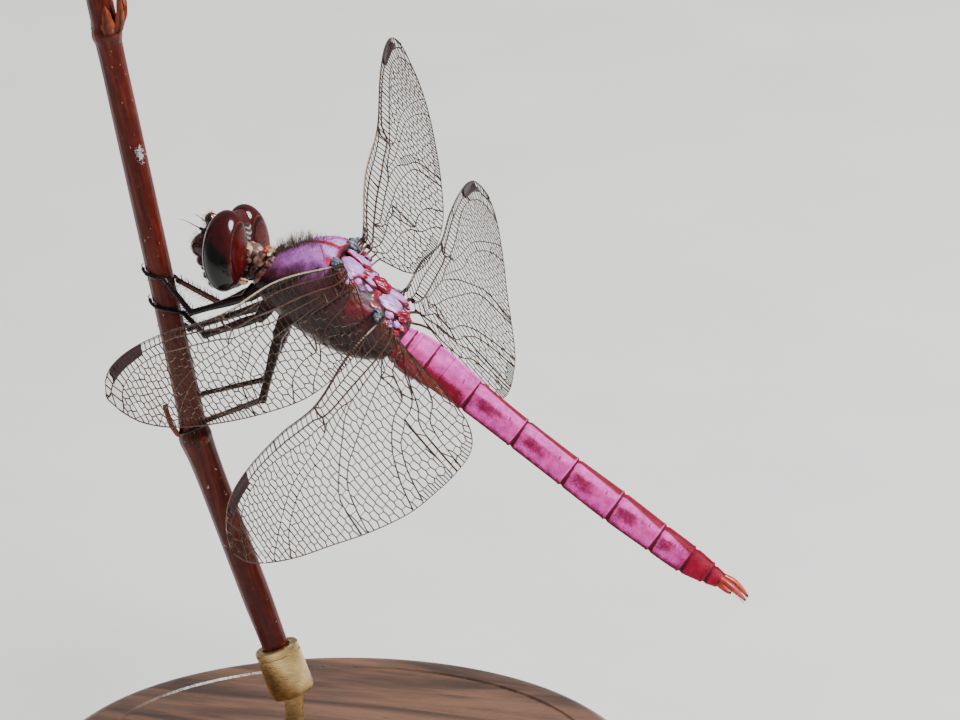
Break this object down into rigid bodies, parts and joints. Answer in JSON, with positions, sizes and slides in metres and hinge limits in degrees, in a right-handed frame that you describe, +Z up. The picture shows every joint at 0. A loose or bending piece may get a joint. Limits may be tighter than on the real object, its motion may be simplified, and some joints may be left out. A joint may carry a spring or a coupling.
{
  "type": "dragonfly specimen model",
  "caption": "Life-size skimmer dragonfly with spread clear veined wings, gripping a cut leaning twig that a short rod holds over a round display base.",
  "frame": {"origin": "centre of the flat underside of the stand's base", "axes": "+Z is up; the insect's head points to -X and up, its tail to +X and down; its left wings reach to -Y and its right wings to +Y"},
  "size_m": [0.0618, 0.0903, 0.0733],
  "materials": {
    "compound_eye": "glossy black-maroon compound eye, redder at its rear and top rim",
    "face": "glossy dark maroon cuticle of the face and vertex",
    "nape": "dark back of the head and collar with pale grey-pink bars",
    "thorax_bloom": "violet-pink waxy bloom over dark maroon sides, with red ridges",
    "abdomen_rose": "rose-pink bloomed cuticle with dark red joints and a red ridge",
    "tail_red": "red tail segments and claspers with less bloom",
    "leg_black": "shiny black-brown leg cuticle with bristles",
    "wing_clear": "clear, faintly smoky membrane on dark brown veins",
    "twig_bark": "smooth dark red-brown bark with pale specks",
    "base_wood": "turned dark walnut with a satin finish",
    "rod_brass": "satin brass rod and cup"
  },
  "bodies": {
    "root": {"abdomen_01": "abdomen_rose", "abdomen_02": "abdomen_rose", "abdomen_03": "abdomen_rose", "abdomen_04": "abdomen_rose", "abdomen_05": "abdomen_rose", "abdomen_06": "abdomen_rose", "abdomen_07": "abdomen_rose", "abdomen_08": "tail_red", "abdomen_09": "tail_red", "abdomen_10": "tail_red", "antenna_left": "leg_black", "antenna_right": "leg_black", "cercus_left": "tail_red", "cercus_right": "tail_red", "clypeus": "face", "epiproct": "tail_red", "eye_left": "compound_eye", "eye_right": "compound_eye", "forewing_left": "wing_clear", "forewing_right": "wing_clear", "frons": "face", "head": "nape", "hindwing_left": "wing_clear", "hindwing_right": "wing_clear", "leg_front_left_coxa": "leg_black", "leg_front_left_femur": "leg_black", "leg_front_left_tarsus": "leg_black", "leg_front_left_tibia": "leg_black", "leg_front_right_coxa": "leg_black", "leg_front_right_femur": "leg_black", "leg_front_right_tarsus": "leg_black", "leg_front_right_tibia": "leg_black", "leg_hind_left_coxa": "leg_black", "leg_hind_left_femur": "leg_black", "leg_hind_left_tarsus": "leg_black", "leg_hind_left_tibia": "leg_black", "leg_hind_right_coxa": "leg_black", "leg_hind_right_femur": "leg_black", "leg_hind_right_tarsus": "leg_black", "leg_hind_right_tibia": "leg_black", "leg_middle_left_coxa": "leg_black", "leg_middle_left_femur": "leg_black", "leg_middle_left_tarsus": "leg_black", "leg_middle_left_tibia": "leg_black", "leg_middle_right_coxa": "leg_black", "leg_middle_right_femur": "leg_black", "leg_middle_right_tarsus": "leg_black", "leg_middle_right_tibia": "leg_black", "mesothorax": "thorax_bloom", "metathorax": "thorax_bloom", "mouthparts": "face", "neck": "nape", "prothorax": "nape", "stand_base": "base_wood", "stand_rod": "rod_brass", "twig": "twig_bark", "vertex": "face"}
  },
  "joints": []
}
